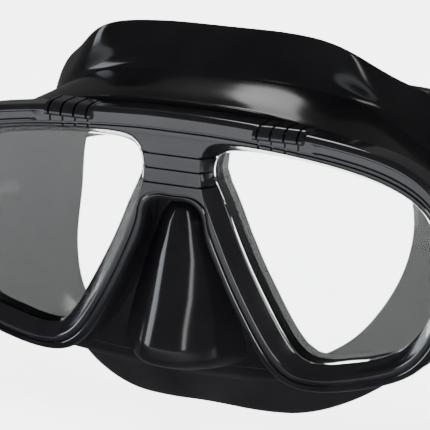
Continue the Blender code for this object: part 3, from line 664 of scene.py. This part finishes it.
def strap_half_path():
    """Centre line of half the strap as (x, y), from the end of its tail to the back of the head."""
    start = (ROLLER_X + STRAP_TURN_R, ROLLER_Y + 2)
    path = [(TAIL_X, y) for y in np.linspace(TAIL_END_Y, TAIL_BEND_Y, 7)]
    for s in np.linspace(0, 1, 20)[1:]:
        x = TAIL_X + (start[0] - TAIL_X) * s * s * (3 - 2 * s)
        path.append((x, TAIL_BEND_Y + (start[1] - TAIL_BEND_Y) * s))
    for turn in np.linspace(0, math.pi, 33):
        path.append((ROLLER_X + STRAP_TURN_R * math.cos(turn), ROLLER_Y - STRAP_TURN_R * math.sin(turn)))
    path += [(STRAP_X, y) for y in np.linspace(ROLLER_Y, STRAP_STRAIGHT_Y, 12)[1:]]
    depth = STRAP_BACK_Y - STRAP_STRAIGHT_Y
    for turn in np.linspace(0, math.pi / 2, 60)[1:]:
        path.append((STRAP_X * math.cos(turn), STRAP_STRAIGHT_Y + depth * math.sin(turn)))
    return path


def strap_section(half, slot):
    """Closed section of the strap as (across its thickness, up): raised ribs outside, rounded edges."""
    t = STRAP_THICK / 2
    eased_t = t - 0.3
    upper = [
        (t, slot), (t, slot + 1.4), (eased_t, slot + 1.7), (eased_t, half - 1.7), (t, half - 1.4),
        (t, half - 0.3), (eased_t, half), (-eased_t, half), (-t, half - 0.3),
    ]
    return [(x, -z) for x, z in upper[::-1]] + upper


def make_strap():
    half_path = strap_half_path()
    path = np.array(half_path + [(-x, y) for x, y in half_path[-2::-1]])
    along = np.gradient(path, axis=0)
    along /= np.linalg.norm(along, axis=1)[:, None]
    side = np.stack([along[:, 1], -along[:, 0]], 1)
    reach = path[:, 1].copy()
    reach[:TAIL_POINTS] = reach[-TAIL_POINTS:] = ROLLER_Y
    rise = STRAP_RISE * eased(reach, STRAP_STRAIGHT_Y + 2, STRAP_STRAIGHT_Y + 22)
    widened = eased(reach, STRAP_STRAIGHT_Y + 6, STRAP_STRAIGHT_Y + 30)
    half = STRAP_HALF + (STRAP_BACK_HALF - STRAP_HALF) * widened
    shell = Shell()
    rings = []
    for point, out, up, width in zip(path, side, rise, half):
        section = strap_section(width, SLOT_HALF)
        rings.append(shell.ring([(*(point - a * out), up + b) for a, b in section]))
    shell.bands(rings)
    shell.faces += [rings[0], rings[-1]]
    return combined(placed("strap_band", shell.mesh("strap_band")), [strap_slot(path, rise)], "DIFFERENCE")


def strap_slot(path, rise):
    """A blade along the strap's back that parts its two bands, with rounded ends."""
    middle = len(path) // 2
    index = range(middle - SLOT_STEPS, middle + SLOT_STEPS + 1)
    along = np.gradient(path, axis=0)
    along /= np.linalg.norm(along, axis=1)[:, None]
    shell = Shell()
    rings = []
    for i in index:
        end = abs(i - middle) / SLOT_STEPS
        half = SLOT_HALF * math.sqrt(max(0.02, 1 - max(0.0, (end - 0.94) / 0.06) ** 2))
        out = np.array([along[i][1], -along[i][0]])
        a, b = path[i] - 3 * out, path[i] + 3 * out
        corners = [(*a, rise[i] - half), (*b, rise[i] - half), (*b, rise[i] + half), (*a, rise[i] + half)]
        rings.append(shell.ring(corners))
    shell.bands(rings)
    shell.faces += [rings[0], rings[-1]]
    return placed("slot", shell.mesh("slot"))


# Pieces taken from the CAD solids and given the rounded edges of the real ones


def eased_copy(name, node, width):
    mesh = frame["nodes"][node].data.copy()
    mesh.materials.clear()
    work = bmesh.new()
    work.from_mesh(mesh)
    bmesh.ops.remove_doubles(work, verts=work.verts, dist=1e-6)
    bmesh.ops.dissolve_limit(work, angle_limit=math.radians(1.5), verts=work.verts, edges=work.edges)
    work.to_mesh(mesh)
    work.free()
    obj = placed(name, mesh)
    rounding = obj.modifiers.new("round", "BEVEL")
    rounding.width = width * MM
    rounding.segments = 2
    rounding.angle_limit = math.radians(30)
    rounding.harden_normals = False
    return smoothed(obj, 35)


def carry(piece, body, slot, finish, *nodes):
    """Puts a piece on its body, gives it its material and lets it stand for the CAD nodes."""
    piece.data.materials.clear()
    piece.data.materials.append(finish)
    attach(piece, body)
    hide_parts(*nodes)
    return piece


# Materials


def new_material(name, colour, roughness):
    made = bpy.data.materials.new(name)
    made.use_nodes = True
    shader = made.node_tree.nodes["Principled BSDF"]
    shader.inputs["Base Color"].default_value = (*colour, 1)
    shader.inputs["Roughness"].default_value = roughness
    return made, made.node_tree, shader


def noise(tree, scale, detail=4.0, stretch=(1, 1, 1)):
    """Object-space noise, finer along the axes that stretch is large on."""
    coordinates = tree.nodes.new("ShaderNodeTexCoord")
    mapping = tree.nodes.new("ShaderNodeMapping")
    mapping.inputs["Scale"].default_value = stretch
    texture = tree.nodes.new("ShaderNodeTexNoise")
    texture.inputs["Scale"].default_value = scale
    texture.inputs["Detail"].default_value = detail
    tree.links.new(coordinates.outputs["Object"], mapping.inputs["Vector"])
    tree.links.new(mapping.outputs["Vector"], texture.inputs["Vector"])
    return texture.outputs["Fac"]


def ramp(tree, value, low, high):
    """Colours from low to high over the range of noise."""
    made = tree.nodes.new("ShaderNodeValToRGB")
    made.color_ramp.elements[0].position = NOISE_LOW
    made.color_ramp.elements[0].color = (*low, 1)
    made.color_ramp.elements[1].position = NOISE_HIGH
    made.color_ramp.elements[1].color = (*high, 1)
    tree.links.new(value, made.inputs["Fac"])
    return made.outputs["Color"]


def spread(tree, value, low, high):
    """value, over the range of noise, turned into low to high."""
    made = tree.nodes.new("ShaderNodeMapRange")
    made.inputs["From Min"].default_value = NOISE_LOW
    made.inputs["From Max"].default_value = NOISE_HIGH
    made.inputs["To Min"].default_value = low
    made.inputs["To Max"].default_value = high
    tree.links.new(value, made.inputs["Value"])
    return made.outputs["Result"]


def bump(tree, shader, value, strength, depth_mm):
    made = tree.nodes.new("ShaderNodeBump")
    made.inputs["Strength"].default_value = strength
    made.inputs["Distance"].default_value = depth_mm * MM
    tree.links.new(value, made.inputs["Height"])
    tree.links.new(made.outputs["Normal"], shader.inputs["Normal"])


def gloss_plastic(name, colour, coat):
    """Polished black moulding: faint orange-peel, and rubbed patches a little duller than the rest."""
    made, tree, shader = new_material(name, colour, 0.14)
    lighter = tuple(c * 1.5 + 0.001 for c in colour)
    tree.links.new(ramp(tree, noise(tree, 90), colour, lighter), shader.inputs["Base Color"])
    tree.links.new(spread(tree, noise(tree, 240, 6), 0.10, 0.2), shader.inputs["Roughness"])
    shader.inputs["Specular IOR Level"].default_value = 0.5
    shader.inputs["Coat Weight"].default_value = coat
    shader.inputs["Coat Roughness"].default_value = 0.05
    bump(tree, shader, noise(tree, 900, 3), 0.12, 0.02)
    return made


def silicone(name, colour, low, high, grain):
    """Moulded silicone: slow changes of gloss, and a fine skin grain."""
    made, tree, shader = new_material(name, colour, low)
    lighter = tuple(c * 1.6 + 0.001 for c in colour)
    tree.links.new(ramp(tree, noise(tree, 60), colour, lighter), shader.inputs["Base Color"])
    tree.links.new(spread(tree, noise(tree, 45, 5), low, high), shader.inputs["Roughness"])
    shader.inputs["Specular IOR Level"].default_value = 0.3
    bump(tree, shader, noise(tree, 1400, 3), grain, 0.03)
    return made


def matte_plastic(name, colour):
    """Fine spark-eroded texture of an unpolished moulding."""
    made, tree, shader = new_material(name, colour, 0.45)
    lighter = tuple(c * 1.25 for c in colour)
    tree.links.new(ramp(tree, noise(tree, 500), colour, lighter), shader.inputs["Base Color"])
    tree.links.new(spread(tree, noise(tree, 300), 0.38, 0.52), shader.inputs["Roughness"])
    bump(tree, shader, noise(tree, 2500, 5), 0.3, 0.03)
    return made


def brushed_steel(name):
    made, tree, shader = new_material(name, (0.62, 0.63, 0.64), 0.25)
    shader.inputs["Metallic"].default_value = 1.0
    lines = noise(tree, 500, 3, (1, 1, 14))
    tree.links.new(ramp(tree, lines, (0.52, 0.53, 0.54), (0.7, 0.71, 0.72)), shader.inputs["Base Color"])
    tree.links.new(spread(tree, lines, 0.2, 0.34), shader.inputs["Roughness"])
    bump(tree, shader, lines, 0.1, 0.01)
    return made


def clear_glass(name):
    """Clear tempered glass whose coating keeps its reflections low, with the slightest smear in its gloss."""
    made, tree, shader = new_material(name, (0.96, 0.99, 0.98), 0.0)
    shader.inputs["Transmission Weight"].default_value = 1.0
    shader.inputs["IOR"].default_value = 1.36
    tree.links.new(spread(tree, noise(tree, 40, 5), 0.0, 0.004), shader.inputs["Roughness"])
    return made


# Stage


def camera_frame():
    a, e = CAMERA_AZIMUTH, CAMERA_ELEVATION
    back = Vector((math.sin(a) * math.cos(e), -math.cos(a) * math.cos(e), math.sin(e)))
    right = Vector((math.cos(a), math.sin(a), 0))
    return back, right, back.cross(right)


def make_camera():
    back, right, up = camera_frame()
    at = back * CAMERA_DISTANCE + right * CAMERA_RIGHT + up * CAMERA_UP
    camera = bpy.data.cameras.new("camera")
    camera.lens = CAMERA_LENS
    camera.sensor_width = SENSOR
    obj = bpy.data.objects.new("camera", camera)
    turn = Matrix((right, up, back)).transposed().to_4x4()
    obj.matrix_world = Matrix.Translation(Vector(in_world(at))) @ turn
    bpy.context.scene.collection.objects.link(obj)
    bpy.context.scene.camera = obj


def flat_mesh(name, x, y, z, finish):
    """A level rectangle over the ranges x and y, in world metres."""
    mesh = bpy.data.meshes.new(name)
    corners = [(x[0], y[0], z), (x[1], y[0], z), (x[1], y[1], z), (x[0], y[1], z)]
    mesh.from_pydata(corners, [], [(0, 1, 2, 3)])
    mesh.materials.append(finish)
    return mesh


def floor():
    """A pale floor that glows. Gloss and glass don't reflect it, but the cards that lie on it."""
    size = 6.0
    made, _, shader = new_material("floor", (0.95, 0.95, 0.95), 0.9)
    shader.inputs["Emission Color"].default_value = (1, 1, 1, 1)
    shader.inputs["Emission Strength"].default_value = 4.5
    obj = placed("floor", flat_mesh("floor", (-size, size), (-size, size), 0, made))
    obj.visible_glossy = False


def floor_card(name, x, y, axis, start, full, glow):
    """A glow on the floor that only gloss and glass reflect; it grows along one axis from start to full."""
    made, tree, shader = new_material(name, (0, 0, 0), 1.0)
    place = tree.nodes.new("ShaderNodeTexCoord")
    split = tree.nodes.new("ShaderNodeSeparateXYZ")
    grade = tree.nodes.new("ShaderNodeMapRange")
    grade.inputs["From Min"].default_value = start
    grade.inputs["From Max"].default_value = full
    grade.inputs["To Max"].default_value = glow
    tree.links.new(place.outputs["Object"], split.inputs["Vector"])
    tree.links.new(split.outputs[axis], grade.inputs["Value"])
    tree.links.new(grade.outputs["Result"], shader.inputs["Emission Strength"])
    shader.inputs["Emission Color"].default_value = (0.93, 0.96, 1, 1)
    card = placed(name, flat_mesh(name, x, y, MM, made))
    card.visible_camera = False
    card.visible_transmission = False
    card.visible_diffuse = False
    card.visible_shadow = False


def softbox(name, place, target, size, power, colour=(1, 1, 1)):
    light = bpy.data.lights.new(name, "AREA")
    light.shape = "RECTANGLE"
    light.size, light.size_y = size
    light.energy = power
    light.color = colour
    obj = bpy.data.objects.new(name, light)
    obj.location = place
    obj.rotation_euler = (Vector(target) - Vector(place)).to_track_quat("-Z", "Y").to_euler()
    bpy.context.scene.collection.objects.link(obj)
    return obj


def studio():
    world = bpy.data.worlds.new("studio")
    world.use_nodes = True
    world.node_tree.nodes["Background"].inputs["Color"].default_value = (1, 1, 1, 1)
    world.node_tree.nodes["Background"].inputs["Strength"].default_value = 0.12
    bpy.context.scene.world = world
    middle = (0, 0, 0.06)
    softbox("back_top", (-0.28, 0.63, 0.88), middle, (0.21, 0.5), 1.6)
    softbox("left", (-1.1, -0.5, 0.3), middle, (0.45, 0.6), 6.5, (0.86, 0.93, 1.0))
    softbox("right", (0.75, -1.05, 0.5), middle, (0.2, 0.7), 4)
    # The wide lamp lights everything from above but stays out of the gloss, where only the narrow ones show.
    softbox("overhead", (0.1, -0.1, 1.5), middle, (1.2, 1.2), 26).visible_glossy = False


# Assembly

HARDWARE = (
    ("buckle", "buckle_body", "strap_assembly", "buckle_plastic", 0.35),
    ("roller_pin_shaft", "roller_pin", "strap_assembly", "steel", 0.15),
    ("lever_pin_shaft", "lever_pin", "strap_assembly", "steel", 0.15),
    ("keeper_loop", "strap_keeper", "strap_assembly", "strap_silicone", 0.4),
    ("screw", "pivot_screw", "mask", "steel", 0.2),
    ("washer", "swivel_washer", "mask", "nylon", 0.05),
    ("retainer_ring", "lens_retainer", "mask", "retainer_plastic", 0.2),
)


def hardware_pieces(hand, finishes):
    rows = list(HARDWARE)
    rows.append(("roller_sleeve", "strap_roller", f"roller_{hand}", "nylon", 0.3))
    rows.append(("lever_tab", "release_lever", f"lever_{hand}", "buckle_plastic", 0.3))
    for name, node, body, slot, width in rows:
        piece = eased_copy(f"{name}_{hand}", f"{node}_{hand}", width)
        carry(piece, body, slot, finishes[slot], f"{node}_{hand}")
    spring = frame["nodes"][f"release_spring_{hand}"]
    spring.data.materials.clear()
    spring.data.materials.append(finishes["steel"])


def main():
    finishes = {
        "frame_plastic": gloss_plastic("frame_plastic", (0.003, 0.003, 0.004), 0.6),
        "buckle_plastic": gloss_plastic("buckle_plastic", (0.006, 0.006, 0.007), 0.1),
        "skirt_silicone": silicone("skirt_silicone", (0.003, 0.003, 0.0035), 0.11, 0.17, 0.06),
        "strap_silicone": silicone("strap_silicone", (0.008, 0.008, 0.009), 0.32, 0.45, 0.25),
        "retainer_plastic": gloss_plastic("retainer_plastic", (0.006, 0.006, 0.007), 0.1),
        "nylon": matte_plastic("nylon", (0.3, 0.3, 0.31)),
        "steel": brushed_steel("steel"),
        "lens_glass": clear_glass("lens_glass"),
    }
    carry(make_frame(), "mask", "frame_plastic", finishes["frame_plastic"], "frame")
    carry(make_skirt(), "mask", "skirt_silicone", finishes["skirt_silicone"], "skirt")
    carry(smoothed(make_strap()), "strap_assembly", "strap_silicone", finishes["strap_silicone"], "strap")
    for side, hand in ((1, "left"), (-1, "right")):
        carry(make_lens(side, hand), "mask", "lens_glass", finishes["lens_glass"], f"lens_{hand}")
        hardware_pieces(hand, finishes)
    floor()
    floor_card("front_card", (-0.8, 0.35), (-0.9, -0.05), "Y", -0.1, -0.34, 2.0)
    floor_card("side_card", (0.08, 0.7), (-0.1, 0.5), "X", 0.1, 0.25, 2.5)
    make_camera()
    studio()


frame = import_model()
main()
